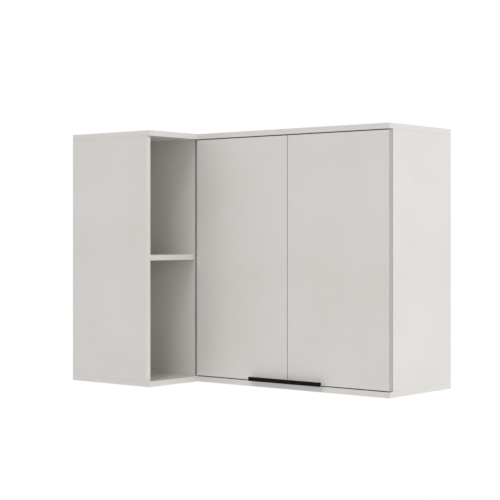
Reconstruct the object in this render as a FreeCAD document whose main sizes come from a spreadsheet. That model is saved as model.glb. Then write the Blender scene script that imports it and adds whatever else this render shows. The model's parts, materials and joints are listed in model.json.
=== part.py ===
import FreeCAD, Part
import math
import os
import re
import Sketcher
from FreeCAD import Placement, Rotation, Vector

# Corner wall cabinet: an L-shaped box of melamine board. The main box has two doors on concealed
# hinges, and a short open wing at its left end comes forward with two niches that look right.
# Frame: X to the right, Y to the wall, Z up, origin under the middle of the cabinet's box.

DRIVING_SIZES = (
    ("overall_width", 950, "length of the L-shaped boards along the wall"),
    ("overall_depth", 494, "wall to the front of the wing"),
    ("overall_height", 700, "underside to top"),
    ("main_depth", 297, "wall to the front of the main box"),
    ("wing_width", 301, "left end to the inner corner of the L"),
    ("board", 15, "melamine board"),
    ("edge_round", 0.8, "rounding of the boards' banded edges"),
    ("niche_inset", 11, "niche boards' right ends behind the L's inner corner"),
    ("niche_shelf_height", 344.5, "underside of the niche shelf"),
    ("door_thickness", 15, "door board"),
    ("door_band", 0.6, "edge band of a door"),
    ("door_side_gap", 1, "door edge inside the outer face of what carries it"),
    ("corner_lap", 3, "left door's edge to the left of the L's inner corner"),
    ("door_end_gap", 2.5, "door to the top and bottom boards"),
    ("door_seam", 1, "between the two doors"),
    ("door_difference", 3, "right door wider than the left one"),
    ("door_back_gap", 1, "back of a door to the front edge of a side panel"),
    ("stile_depth", 100, "depth of the upright that carries the left door"),
    ("hardboard", 3, "back panel"),
    ("groove_depth", 7, "groove for the back panel"),
    ("groove_play", 0.2, "back panel to each side of its groove"),
    ("rail_height", 80, "hanging rail"),
    ("wall_hole_radius", 3, "hole for a wall screw"),
    ("wall_hole_inset", 100, "wall screw from the cabinet's end"),
    ("main_shelf_height", 342, "underside of the shelf behind the doors"),
    ("shelf_setback", 40, "front edge of that shelf behind the boards' front"),
    ("shelf_play", 1, "shelf to what stands beside it"),
    ("pin_radius", 2.45, "shelf pin"),
    ("pin_reach", 8, "shelf pin out of its hole"),
    ("pin_hole_radius", 2.5, "hole for a shelf pin"),
    ("pin_hole_depth", 10, "hole for a shelf pin"),
    ("pin_inset", 60, "shelf pin from the shelf's front or rear edge"),
    ("stile_pin_inset", 15, "shelf pin from the rear edge of the left door's upright"),
    ("pin_collar_radius", 3.5, "collar of a shelf pin against its board"),
    ("pin_collar_thickness", 0.8, "the same collar"),
    ("screw_shank_radius", 2.45, "carcass screw"),
    ("screw_hole_radius", 2.5, "pilot hole of a carcass screw"),
    ("screw_head_radius", 4.9, "carcass screw head"),
    ("screw_seat_radius", 5, "recess for a carcass screw head"),
    ("screw_head_height", 3, "carcass screw head"),
    ("screw_seat_depth", 3.4, "recess for a carcass screw head"),
    ("screw_grip", 30, "carcass screw in the end of a board"),
    ("screw_inset", 50, "carcass screw from a board's corner"),
    ("tip_play", 1, "a screw's tip to the bottom of its hole"),
    ("handle_length", 120, "handle bar"),
    ("handle_height", 11, "handle bar"),
    ("handle_depth", 8, "handle bar, front to back"),
    ("handle_reach", 20, "handle bar's front face to the door"),
    ("handle_drop", 1.2, "handle bar below the door's lower edge"),
    ("handle_round", 1.5, "rounding of the handle bar"),
    ("handle_spacing", 96, "between the handle's posts"),
    ("post_radius", 3.5, "handle post"),
    ("handle_screw_radius", 2, "handle screw"),
    ("handle_screw_play", 0.2, "handle screw in the door"),
    ("handle_screw_head", 1.8, "height of a handle screw's head"),
    ("hinge_spacing", 480, "between a door's two hinges"),
    ("cup_inset", 22.5, "hinge cup's centre from the door's edge"),
    ("cup_radius", 17.45, "hinge cup"),
    ("cup_hole_radius", 17.5, "hole for the hinge cup"),
    ("cup_depth", 11.5, "hinge cup in the door"),
    ("cup_wall", 1.2, "hinge cup's wall"),
    ("cup_floor", 0.8, "hinge cup's floor"),
    ("cup_round", 1, "rounding of the hinge cup's bottom"),
    ("cup_lug_margin", 2.4, "lug in the cup round its pins"),
    ("flange_height", 1.2, "hinge cup's flange on the door's back"),
    ("flange_front", 6.5, "flange before the cup's centre"),
    ("flange_rear", 15.5, "flange behind the cup's centre"),
    ("flange_margin", 6, "flange past its screws"),
    ("flange_round", 5, "rounding of the flange's corners"),
    ("cup_screw_spacing", 48, "between the flange's two screws"),
    ("cup_screw_inset", 32, "flange screws from the door's edge"),
    ("outer_arm_pivot_inset", 35.5, "outer link's pin in the arm, from the door's edge"),
    ("outer_arm_pivot_depth", 48.5, "the same pin, behind the door's front"),
    ("inner_arm_pivot_inset", 39.5, "inner link's pin in the arm, from the door's edge"),
    ("inner_arm_pivot_depth", 25, "the same pin, behind the door's front"),
    ("outer_cup_pivot_inset", 10.5, "outer link's pin in the cup, from the door's edge"),
    ("outer_cup_pivot_depth", 11, "the same pin, behind the door's front"),
    ("inner_cup_pivot_inset", 16.7, "inner link's pin in the cup, from the door's edge"),
    ("inner_cup_pivot_depth", 8.8, "the same pin, behind the door's front"),
    ("pivot_radius", 1.5, "hinge pin"),
    ("pivot_play", 0.05, "hinge pin in a link's eye"),
    ("eye_radius", 3, "link's eye on the arm"),
    ("cup_eye_radius", 2.4, "outer link's eye in the cup"),
    ("outer_strip_width", 2.4, "outer link between its eyes"),
    ("inner_strip_width", 2, "inner link past its eye"),
    ("link_thickness", 1.8, "one cheek of a link"),
    ("link_play", 0.25, "between layers of the linkage"),
    ("lug_half_width", 2.3, "middle lug that holds the inner link's pins"),
    ("plate_setback", 37, "mounting plate's screws behind the panel's front edge"),
    ("plate_screw_spacing", 32, "between the mounting plate's two screws"),
    ("plate_thickness", 2.5, "mounting plate's foot"),
    ("plate_margin", 8, "mounting plate's foot round its screws"),
    ("plate_round", 5, "rounding of the foot's corners"),
    ("plate_rise", 7, "mounting plate's rail above the side panel"),
    ("rail_half_width", 6.5, "mounting plate's rail"),
    ("rail_length", 42, "mounting plate's rail"),
    ("arm_thickness", 5, "hinge arm on the plate's rail"),
    ("arm_half_width", 8, "hinge arm on the plate's rail"),
    ("arm_length", 32, "hinge arm on the plate's rail"),
    ("arm_setback", 4, "front of that stretch behind the plate's screws"),
    ("arm_cheek_reach", 3.5, "arm's cheeks down the sides of the rail"),
    ("arm_round", 1, "rounding of the arm's upper edges"),
    ("neck_length", 8, "arm's neck on the rail"),
    ("neck_margin", 4, "arm beside the outer link's pin"),
    ("neck_cover", 2.5, "arm before the outer link's pin"),
    ("clamp_row", 27, "clamp screw behind the plate's screws"),
    ("adjuster_row", 17, "adjusting screw behind the plate's screws"),
    ("clamp_seat_radius", 4, "recess for the clamp screw's head"),
    ("clamp_seat_depth", 2, "recess for the clamp screw's head"),
)

os.makedirs("parts", exist_ok=True)
doc = FreeCAD.newDocument("corner_wall_cabinet")
sheet = doc.addObject("Spreadsheet::Sheet", "Sizes")
for row, (alias, amount, meaning) in enumerate(DRIVING_SIZES, start=1):
    sheet.set(f"A{row}", meaning)
    sheet.set(f"B{row}", str(amount))
    sheet.setAlias(f"B{row}", alias)
doc.recompute()

ALIASES = {alias for alias, amount, meaning in DRIVING_SIZES}
SUB_PARTS = []

# Places that several pieces share, as formulas of the sheet's sizes.
LEFT_END = "(-overall_width / 2)"
RIGHT_END = "(overall_width / 2)"
WING_FRONT = "(-overall_depth / 2)"
WALL = "(overall_depth / 2)"
MAIN_FRONT = f"({WALL} - main_depth)"
PANEL_FRONT = f"({MAIN_FRONT} + door_thickness + door_back_gap)"
CLEAR_HEIGHT = "(overall_height - 2 * board)"
LEFT_DOOR_EDGE = f"({LEFT_END} + wing_width - corner_lap)"
RIGHT_DOOR_EDGE = f"({RIGHT_END} - door_side_gap)"
STILE_LEFT = f"({LEFT_DOOR_EDGE} - door_side_gap)"
BOTH_DOORS = f"({RIGHT_DOOR_EDGE} - {LEFT_DOOR_EDGE} - door_seam)"
DOOR_WIDTHS = {"left": f"(({BOTH_DOORS} - door_difference) / 2)", "right": f"(({BOTH_DOORS} + door_difference) / 2)"}
DOOR_HEIGHT = f"({CLEAR_HEIGHT} - 2 * door_end_gap)"
GROOVE_WIDTH = "(hardboard + 2 * groove_play)"


def formula(text):
    """Spreadsheet formula: each size's name gets the sheet's prefix."""
    return re.sub(r"[a-z_]+", lambda word: "Sizes." + word[0] if word[0] in ALIASES else word[0], text)


def bind(thing, path, text):
    thing.setExpression(path, formula(text))


def place(thing, x, y, z, turn=None):
    """Fixed turn, and a position bound to the sheet."""
    if turn is not None:
        thing.Placement = Placement(Vector(), turn)
    bind(thing, "Placement.Base.x", x)
    bind(thing, "Placement.Base.y", y)
    bind(thing, "Placement.Base.z", z)


def new_body(label):
    body = doc.addObject("PartDesign::Body", label)
    body.Label = label
    return body


def sub_part(thing):
    SUB_PARTS.append(thing)
    return thing


def new_sketch(body, plane, offset="0"):
    """Sketch on one of the body's own planes, moved along that plane's normal."""
    sketch = body.newObject("Sketcher::SketchObject", body.Name + "_sketch")
    support = [item for item in body.Origin.OriginFeatures if item.Role == plane + "_Plane"][0]
    sketch.AttachmentSupport = [(support, "")]
    sketch.MapMode = "FlatFace"
    bind(sketch, "AttachmentOffset.Base.z", offset)
    return sketch


def pin_point(sketch, geometry, point, across, up):
    """Bind one point's distances from the sketch's axes."""
    for kind, distance, axis in (("DistanceX", across, -2), ("DistanceY", up, -1)):
        if distance == "0":
            sketch.addConstraint(Sketcher.Constraint("PointOnObject", geometry, point, axis))
            continue
        number = sketch.addConstraint(Sketcher.Constraint(kind, -1, 1, geometry, point, 5.0))
        bind(sketch, f"Constraints[{number}]", distance)


def draw_outline(sketch, corners):
    """Closed outline with straight sides through the corners."""
    count = len(corners)
    first = sketch.GeometryCount
    start = [Vector(5 + 4 * math.cos(2 * math.pi * i / count), 5 + 4 * math.sin(2 * math.pi * i / count), 0)
             for i in range(count)]
    for i in range(count):
        sketch.addGeometry(Part.LineSegment(start[i], start[(i + 1) % count]), False)
    for i in range(count):
        sketch.addConstraint(Sketcher.Constraint("Coincident", first + i, 2, first + (i + 1) % count, 1))
    for i, (across, up) in enumerate(corners):
        pin_point(sketch, first + i, 1, across, up)


def draw_circle(sketch, across, up, radius):
    number = sketch.addGeometry(Part.Circle(Vector(5, 5, 0), Vector(0, 0, 1), 2), False)
    pin_point(sketch, number, 3, across, up)
    size = sketch.addConstraint(Sketcher.Constraint("Radius", number, 2.0))
    bind(sketch, f"Constraints[{size}]", radius)


def rectangle(low_x, low_y, high_x, high_y):
    return ((low_x, low_y), (high_x, low_y), (high_x, high_y), (low_x, high_y))


def volume_of(body):
    return body.Shape.Volume if body.Tip is not None and not body.Shape.isNull() else 0.0


def extrude(body, kind, sketch, length, reverse):
    """Pad or pocket, with a test that it changed the solid the right way."""
    before = volume_of(body)
    feature = body.newObject("PartDesign::" + kind, body.Name + "_" + kind.lower())
    feature.Profile = sketch
    bind(feature, "Length", length)
    feature.Reversed = reverse
    doc.recompute()
    after = volume_of(body)
    changed = after - before if kind == "Pad" else before - after
    if changed <= 0:
        raise RuntimeError(f"{body.Label}: {feature.Name} changed nothing")
    return feature


def pad(body, sketch, length, reverse=False):
    return extrude(body, "Pad", sketch, length, reverse)


def pocket(body, sketch, depth, reverse=False):
    return extrude(body, "Pocket", sketch, depth, reverse)


def round_edges(body, feature, radius, wanted):
    """Fillet the edges of a feature that the test picks."""
    names = [f"Edge{number}" for number, edge in enumerate(feature.Shape.Edges, start=1) if wanted(edge)]
    fillet = body.newObject("PartDesign::Fillet", body.Name + "_fillet")
    fillet.Base = (feature, names)
    bind(fillet, "Radius", radius)
    doc.recompute()
    return fillet


def along(edge, axis):
    """True where the edge is straight and parallel to the axis."""
    if not isinstance(edge.Curve, Part.Line):
        return False
    return abs(abs(edge.Curve.Direction.dot(axis)) - 1) < 1e-6


def number_of(alias):
    """A size of the sheet as a number, in millimetres."""
    return float(getattr(sheet, alias))


def at_front(edge, axis, front):
    """True on the straight edges along an axis whose middle lies on the plane y = front."""
    return along(edge, axis) and abs(edge.CenterOfMass.y - front) < 1e-3


def pair_along_z(body, features, spacing):
    """Repeat the features once, a hinge spacing higher."""
    pattern = body.newObject("PartDesign::LinearPattern", body.Name + "_pair")
    pattern.Originals = features
    axis = [item for item in body.Origin.OriginFeatures if item.Role == "Z_Axis"][0]
    pattern.Direction = (axis, [""])
    pattern.Occurrences = 2
    bind(pattern, "Length", spacing)
    body.Tip = pattern
    doc.recompute()
    return pattern


X_AXIS = Vector(1, 0, 0)
Y_AXIS = Vector(0, 1, 0)
Z_AXIS = Vector(0, 0, 1)


# ---------------------------------------------------------------- L-shaped boards

def upright_screw_places():
    """Middle of each carcass screw that goes through the top or bottom board, from the L's own corner."""
    side_front = "(overall_depth - main_depth + door_thickness + door_back_gap + screw_inset)"
    rear = "(overall_depth - board - screw_inset)"
    panel_middle = "(board / 2)"
    niche_right = "(wing_width - niche_inset - screw_inset)"
    main_row = "(overall_depth - main_depth + board / 2)"
    stile_middle = f"({STILE_LEFT} - {LEFT_END} + board / 2)"
    return (
        (panel_middle, "(board + screw_inset)"), (panel_middle, rear),
        ("(overall_width - board / 2)", side_front), ("(overall_width - board / 2)", rear),
        ("(board + screw_inset)", "(board / 2)"), (niche_right, "(board / 2)"),
        ("(board + screw_inset)", main_row), (niche_right, main_row),
        (stile_middle, side_front),
    )


def l_board(label, height, outside):
    """Top or bottom board. outside is +1 where its screw heads are on the upper face, -1 below."""
    body = new_body(label)
    sketch = new_sketch(body, "XY")
    reach = "overall_depth - main_depth"
    draw_outline(sketch, (("0", "0"), ("wing_width", "0"), ("wing_width", reach), ("overall_width", reach),
                          ("overall_width", "overall_depth"), ("0", "overall_depth")))
    plate = pad(body, sketch, "board")
    round_edges(body, plate, "edge_round", lambda edge: not along(edge, Z_AXIS))
    groove = new_sketch(body, "XY", "0" if outside > 0 else "board")
    draw_outline(groove, rectangle("board - groove_depth", f"overall_depth - board - {GROOVE_WIDTH}",
                                   "overall_width - board + groove_depth", "overall_depth - board"))
    pocket(body, groove, "groove_depth", reverse=outside > 0)
    holes = new_sketch(body, "XY", "board" if outside > 0 else "0")
    seats = new_sketch(body, "XY", "board" if outside > 0 else "0")
    for across, back in upright_screw_places():
        draw_circle(holes, across, back, "screw_hole_radius")
        draw_circle(seats, across, back, "screw_seat_radius")
    pocket(body, holes, "board", reverse=outside < 0)
    pocket(body, seats, "screw_seat_depth", reverse=outside < 0)
    place(body, LEFT_END, WING_FRONT, height)
    return sub_part(body)


l_board("bottom_panel", "0", -1)
l_board("top_panel", "overall_height - board", 1)


# ---------------------------------------------------------------- uprights

def end_holes(body, centres, height):
    """Pilot holes in the lower and upper end of an upright."""
    for offset, reverse in (("0", True), (height, False)):
        sketch = new_sketch(body, "XY", offset)
        for across, back in centres:
            draw_circle(sketch, across, back, "screw_hole_radius")
        pocket(body, sketch, "screw_grip", reverse)


def side_board(label, depth, rear_groove, screw_rows):
    """Upright whose faces look left and right: its own Y runs to the wall, its own X is its thickness."""
    body = new_body(label)
    sketch = new_sketch(body, "YZ")
    draw_outline(sketch, rectangle("0", "0", depth, CLEAR_HEIGHT))
    plate = pad(body, sketch, "board")
    round_edges(body, plate, "edge_round", lambda edge: at_front(edge, Z_AXIS, 0))
    end_holes(body, [("board / 2", row) for row in screw_rows], CLEAR_HEIGHT)
    if rear_groove is not None:
        face, reverse = ("board", False) if rear_groove == "right" else ("0", True)
        groove = new_sketch(body, "YZ", face)
        draw_outline(groove, rectangle(f"{depth} - board - {GROOVE_WIDTH}", "0",
                                       f"{depth} - board", CLEAR_HEIGHT))
        pocket(body, groove, "groove_depth", reverse)
    return body


def side_circles(body, face, reverse, circles, radius, depth):
    """Holes into a side board's left (face 0) or right (face board) side, as (back, up) pairs."""
    sketch = new_sketch(body, "YZ", face)
    for back, up in circles:
        draw_circle(sketch, back, up, radius)
    pocket(body, sketch, depth, reverse)


SHELF_FRONT = f"({MAIN_FRONT} + shelf_setback)"
SHELF_REAR = f"({WALL} - board - {GROOVE_WIDTH} - shelf_play)"
SHELF_PIN_ROWS = (f"({SHELF_FRONT} + pin_inset)", f"({SHELF_REAR} - pin_inset)")
PIN_HEIGHT = "(main_shelf_height - pin_radius)"
RAIL_SCREW_HEIGHTS = ("(board + rail_height / 2)", "(overall_height - board - rail_height / 2)")
RAIL_SCREW_ROW = f"({WALL} - board / 2)"
NICHE_SCREW_ROWS = (f"({WING_FRONT} + board + screw_inset)", f"({MAIN_FRONT} - screw_inset)")
NICHE_SCREW_HEIGHT = "(niche_shelf_height + board / 2)"

LEFT_SIDE_FRONT = f"({WING_FRONT} + board)"
LEFT_SIDE_DEPTH = "(overall_depth - board)"
left_side = side_board("left_side_panel", LEFT_SIDE_DEPTH, "right",
                       ("screw_inset", "overall_depth - 2 * board - screw_inset"))
side_circles(left_side, "board", False,
             [(f"{row} - {LEFT_SIDE_FRONT}", f"{PIN_HEIGHT} - board") for row in SHELF_PIN_ROWS],
             "pin_hole_radius", "pin_hole_depth")
left_screws = [(f"{RAIL_SCREW_ROW} - {LEFT_SIDE_FRONT}", f"{up} - board") for up in RAIL_SCREW_HEIGHTS]
left_screws += [(f"{row} - {LEFT_SIDE_FRONT}", f"{NICHE_SCREW_HEIGHT} - board") for row in NICHE_SCREW_ROWS]
side_circles(left_side, "0", True, left_screws, "screw_hole_radius", "board")
side_circles(left_side, "0", True, left_screws, "screw_seat_radius", "screw_seat_depth")
place(left_side, LEFT_END, LEFT_SIDE_FRONT, "board")
sub_part(left_side)

HINGE_HEIGHTS = ("((overall_height - hinge_spacing) / 2)", "((overall_height + hinge_spacing) / 2)")
PLATE_SCREWS = [("plate_setback", f"{height} - board {sign} plate_screw_spacing / 2")
                for height in HINGE_HEIGHTS for sign in "-+"]
RIGHT_SIDE_DEPTH = "(main_depth - door_thickness - door_back_gap)"
right_side = side_board("right_side_panel", RIGHT_SIDE_DEPTH, "left",
                        ("screw_inset", f"{RIGHT_SIDE_DEPTH} - board - screw_inset"))
side_circles(right_side, "0", True,
             [(f"{row} - {PANEL_FRONT}", f"{PIN_HEIGHT} - board") for row in SHELF_PIN_ROWS],
             "pin_hole_radius", "pin_hole_depth")
side_circles(right_side, "0", True, PLATE_SCREWS, "screw_hole_radius", "pin_hole_depth")
right_screws = [(f"{RAIL_SCREW_ROW} - {PANEL_FRONT}", f"{up} - board") for up in RAIL_SCREW_HEIGHTS]
side_circles(right_side, "board", False, right_screws, "screw_hole_radius", "board")
side_circles(right_side, "board", False, right_screws, "screw_seat_radius", "screw_seat_depth")
place(right_side, f"{RIGHT_END} - board", PANEL_FRONT, "board")
sub_part(right_side)

hinge_stile = side_board("hinge_stile", "stile_depth", None, ("screw_inset",))
side_circles(hinge_stile, "board", False, PLATE_SCREWS, "screw_hole_radius", "pin_hole_depth")
side_circles(hinge_stile, "board", False, [("stile_depth - stile_pin_inset", f"{PIN_HEIGHT} - board")],
             "pin_hole_radius", "pin_hole_depth")
place(hinge_stile, STILE_LEFT, PANEL_FRONT, "board")
sub_part(hinge_stile)


def front_board(label, width, front):
    """Upright of the wing whose faces look to the room and to the wall."""
    body = new_body(label)
    sketch = new_sketch(body, "XZ")
    draw_outline(sketch, rectangle("0", "0", width, CLEAR_HEIGHT))
    plate = pad(body, sketch, "board", reverse=True)
    right = plate.Shape.BoundBox.XMax
    round_edges(body, plate, "edge_round",
                lambda edge: along(edge, Z_AXIS) and abs(edge.CenterOfMass.x - right) < 1e-3)
    end_holes(body, (("board + screw_inset", "board / 2"), (f"{width} - screw_inset", "board / 2")),
              CLEAR_HEIGHT)
    place(body, LEFT_END, front, "board")
    return sub_part(body)


front_board("wing_front_panel", "(wing_width - niche_inset)", WING_FRONT)
niche_back = new_body("niche_back_panel")
sketch = new_sketch(niche_back, "XZ")
NICHE_BACK_WIDTH = "(wing_width - niche_inset - board)"
draw_outline(sketch, rectangle("0", "0", NICHE_BACK_WIDTH, CLEAR_HEIGHT))
plate = pad(niche_back, sketch, "board", reverse=True)
end_holes(niche_back, (("screw_inset", "board / 2"), (f"{NICHE_BACK_WIDTH} - screw_inset", "board / 2")),
          CLEAR_HEIGHT)
place(niche_back, f"{LEFT_END} + board", MAIN_FRONT, "board")
sub_part(niche_back)


# ---------------------------------------------------------------- shelves, rails and back

niche_shelf = new_body("niche_shelf")
NICHE_DEPTH = "(overall_depth - main_depth - board)"
sketch = new_sketch(niche_shelf, "XY")
draw_outline(sketch, rectangle("0", "0", NICHE_BACK_WIDTH, NICHE_DEPTH))
plate = pad(niche_shelf, sketch, "board")
shelf_right = plate.Shape.BoundBox.XMax
round_edges(niche_shelf, plate, "edge_round",
            lambda edge: along(edge, Y_AXIS) and abs(edge.CenterOfMass.x - shelf_right) < 1e-3)
sketch = new_sketch(niche_shelf, "YZ")
for row in ("screw_inset", f"{NICHE_DEPTH} - screw_inset"):
    draw_circle(sketch, row, "board / 2", "screw_hole_radius")
pocket(niche_shelf, sketch, "screw_grip", reverse=True)
place(niche_shelf, f"{LEFT_END} + board", LEFT_SIDE_FRONT, "niche_shelf_height")
sub_part(niche_shelf)

main_shelf = new_body("main_shelf")
SHELF_LEFT = f"({LEFT_END} + board + shelf_play)"
SHELF_LENGTH = "(overall_width - 2 * board - 2 * shelf_play)"
SHELF_DEPTH = f"({SHELF_REAR} - {SHELF_FRONT})"
NOTCH_LEFT = f"({STILE_LEFT} - shelf_play - {SHELF_LEFT})"
NOTCH_RIGHT = f"({STILE_LEFT} + board + shelf_play - {SHELF_LEFT})"
NOTCH_REAR = f"({PANEL_FRONT} + stile_depth + shelf_play - {SHELF_FRONT})"
sketch = new_sketch(main_shelf, "XY")
draw_outline(sketch, (("0", "0"), (NOTCH_LEFT, "0"), (NOTCH_LEFT, NOTCH_REAR), (NOTCH_RIGHT, NOTCH_REAR),
                      (NOTCH_RIGHT, "0"), (SHELF_LENGTH, "0"), (SHELF_LENGTH, SHELF_DEPTH), ("0", SHELF_DEPTH)))
plate = pad(main_shelf, sketch, "board")
round_edges(main_shelf, plate, "edge_round", lambda edge: at_front(edge, X_AXIS, 0))
place(main_shelf, SHELF_LEFT, SHELF_FRONT, "main_shelf_height")
sub_part(main_shelf)


def hanging_rail(label, height):
    """Board behind the back panel that the wall screws go through."""
    body = new_body(label)
    length = "(overall_width - 2 * board)"
    sketch = new_sketch(body, "XZ")
    draw_outline(sketch, rectangle("0", "0", length, "rail_height"))
    for across in ("wall_hole_inset - board", f"{length} - wall_hole_inset + board"):
        draw_circle(sketch, across, "rail_height / 2", "wall_hole_radius")
    pad(body, sketch, "board", reverse=True)
    for offset, reverse in (("0", True), (length, False)):
        ends = new_sketch(body, "YZ", offset)
        draw_circle(ends, "board / 2", "rail_height / 2", "screw_hole_radius")
        pocket(body, ends, "screw_grip", reverse)
    place(body, f"{LEFT_END} + board", f"{WALL} - board", height)
    return sub_part(body)


hanging_rail("lower_hanging_rail", "board")
hanging_rail("upper_hanging_rail", "overall_height - board - rail_height")

back_panel = new_body("back_panel")
BACK_EDGE = "(board - groove_depth + groove_play)"
sketch = new_sketch(back_panel, "XZ")
draw_outline(sketch, rectangle("0", "0", f"overall_width - 2 * {BACK_EDGE}",
                               f"overall_height - 2 * {BACK_EDGE}"))
for across in (f"wall_hole_inset - {BACK_EDGE}", f"overall_width - wall_hole_inset - {BACK_EDGE}"):
    for up in RAIL_SCREW_HEIGHTS:
        draw_circle(sketch, across, f"{up} - {BACK_EDGE}", "wall_hole_radius")
pad(back_panel, sketch, "hardboard", reverse=True)
place(back_panel, f"{LEFT_END} + {BACK_EDGE}", f"{WALL} - board - groove_play - hardboard", BACK_EDGE)
sub_part(back_panel)


# ---------------------------------------------------------------- screws and pins in groups

TURN_RIGHT = Rotation(Y_AXIS, 90)
TURN_LEFT = Rotation(Y_AXIS, -90)
TURN_DOWN = Rotation(X_AXIS, 180)
TURN_TO_ROOM = Rotation(X_AXIS, 90)
UPRIGHT = Rotation()


def rod(name, radius, length, x, y, z, turn=UPRIGHT):
    """Cylinder that starts at a place and runs along the turned Z axis."""
    cylinder = doc.addObject("Part::Cylinder", name)
    bind(cylinder, "Radius", radius)
    bind(cylinder, "Height", length)
    place(cylinder, x, y, z, turn)
    return cylinder


def fused(name, first, second):
    whole = doc.addObject("Part::Fuse", name)
    whole.Base = first
    whole.Tool = second
    return whole


def stepped_rod(name, head_radius, head, shank_radius, shank, x, y, z, turn):
    """Screw: a head and a shank on one axis; the place is the head's outer face."""
    top = rod(name + "_head", head_radius, head, x, y, z, turn)
    step = turn.multVec(Z_AXIS)
    ahead = [f"{start} + ({round(step[i])}) * ({head})" for i, start in enumerate((x, y, z))]
    return fused(name, top, rod(name + "_shank", shank_radius, shank, *ahead, turn))


def group(label, pieces):
    """Identical separate pieces as one named node."""
    compound = doc.addObject("Part::Compound", label)
    compound.Label = label
    compound.Links = pieces
    return sub_part(compound)


HEAD_SINK = "(screw_seat_depth - screw_head_height)"
SCREW_LENGTH = "(board - screw_seat_depth + screw_grip - tip_play)"


def carcass_screw(number, x, y, z, turn):
    return stepped_rod(f"carcass_screw_{number}", "screw_head_radius", "screw_head_height",
                       "screw_shank_radius", SCREW_LENGTH, x, y, z, turn)


screw_places = []
for across, back in upright_screw_places():
    x, y = f"({LEFT_END} + {across})", f"({WING_FRONT} + {back})"
    screw_places.append((x, y, HEAD_SINK, UPRIGHT))
    screw_places.append((x, y, f"(overall_height - {HEAD_SINK})", TURN_DOWN))
for height in RAIL_SCREW_HEIGHTS:
    screw_places.append((f"({LEFT_END} + {HEAD_SINK})", RAIL_SCREW_ROW, height, TURN_RIGHT))
    screw_places.append((f"({RIGHT_END} - {HEAD_SINK})", RAIL_SCREW_ROW, height, TURN_LEFT))
for row in NICHE_SCREW_ROWS:
    screw_places.append((f"({LEFT_END} + {HEAD_SINK})", row, NICHE_SCREW_HEIGHT, TURN_RIGHT))
group("carcass_screws", [carcass_screw(number, *where) for number, where in enumerate(screw_places)])



def shelf_pin(name, face, row, turn):
    """Pin with a thin collar; its place is on the face of the board that holds it."""
    way = round(turn.multVec(Z_AXIS).x)
    stem = rod(name + "_stem", "pin_radius", "pin_hole_depth + pin_reach",
               f"{face} - ({way}) * pin_hole_depth", row, PIN_HEIGHT, turn)
    collar = rod(name + "_collar", "pin_collar_radius", "pin_collar_thickness", face, row, PIN_HEIGHT, turn)
    return fused(name, stem, collar)


pins = [shelf_pin(f"left_pin_{i}", f"({LEFT_END} + board)", row, TURN_RIGHT)
        for i, row in enumerate(SHELF_PIN_ROWS)]
pins += [shelf_pin(f"right_pin_{i}", f"({RIGHT_END} - board)", row, TURN_LEFT)
         for i, row in enumerate(SHELF_PIN_ROWS)]
pins.append(shelf_pin("stile_pin", f"({STILE_LEFT} + board)",
                      f"{PANEL_FRONT} + stile_depth - stile_pin_inset", TURN_RIGHT))
group("shelf_pins", pins)


# ---------------------------------------------------------------- doors
# Each door and hinge has a frame of its own on the door's outer edge: its X runs from that edge
# across the door, its Y from the door's front to its back, its Z up from the middle of the height.
# The right door's frame is the left one's turned half a turn about Y, so its Z runs down.

SIDES = (
    ("left", LEFT_DOOR_EDGE, UPRIGHT, 1),
    ("right", RIGHT_DOOR_EDGE, Rotation(Y_AXIS, 180), -1),
)
LAST_HINGE = "(hinge_spacing / 2)"
FIRST_HINGE = "(-hinge_spacing / 2)"
HANDLE_RISE = "(handle_height / 2 - handle_drop)"


def put_on_door(thing, edge, turn):
    place(thing, edge, MAIN_FRONT, "overall_height / 2", turn)


def moved_sketch(body, plane, offset, right, up):
    """Sketch whose own origin stands at a place on the plane, so that its sizes stay positive."""
    sketch = new_sketch(body, plane, offset)
    bind(sketch, "AttachmentOffset.Base.x", right)
    bind(sketch, "AttachmentOffset.Base.y", up)
    return sketch


def from_corner(body, offset, low_corner, size, length, reverse):
    """Pad a rectangle, given by its low corner and its size, parallel to the door's face."""
    sketch = moved_sketch(body, "XZ", offset, *low_corner)
    draw_outline(sketch, rectangle("0", "0", *size))
    return pad(body, sketch, length, reverse)


def handle_post_row(side, sign):
    """One of the handle's two posts, from the door's outer edge."""
    return f"({DOOR_WIDTHS[side]} - (handle_length {sign} handle_spacing) / 2)"


def door_panel(side, edge, turn, up):
    body = new_body(f"{side}_door_panel")
    from_corner(body, "0", ("door_band", f"door_band - {DOOR_HEIGHT} / 2"),
                (f"{DOOR_WIDTHS[side]} - 2 * door_band", f"{DOOR_HEIGHT} - 2 * door_band"),
                "door_thickness", True)
    base = f"(-{DOOR_HEIGHT} / 2)"
    back_face = "(-door_thickness)"
    cups = moved_sketch(body, "XZ", back_face, "0", base)
    for middle in (f"({DOOR_HEIGHT} - hinge_spacing) / 2", f"({DOOR_HEIGHT} + hinge_spacing) / 2"):
        draw_circle(cups, "cup_inset", middle, "cup_hole_radius")
    pocket(body, cups, "cup_depth", True)
    pilots = moved_sketch(body, "XZ", back_face, "0", base)
    for middle in (f"({DOOR_HEIGHT} - hinge_spacing) / 2", f"({DOOR_HEIGHT} + hinge_spacing) / 2"):
        for sign in "-+":
            draw_circle(pilots, "cup_screw_inset", f"{middle} {sign} cup_screw_spacing / 2",
                        "handle_screw_radius")
    pocket(body, pilots, "cup_depth", True)
    handle = moved_sketch(body, "XZ", "0", "0", base)
    level = HANDLE_RISE if up > 0 else f"({DOOR_HEIGHT} - {HANDLE_RISE})"
    for sign in "-+":
        draw_circle(handle, handle_post_row(side, sign), level,
                    "handle_screw_radius + handle_screw_play")
    pocket(body, handle, "door_thickness")
    put_on_door(body, edge, turn)
    return sub_part(body)


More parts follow.
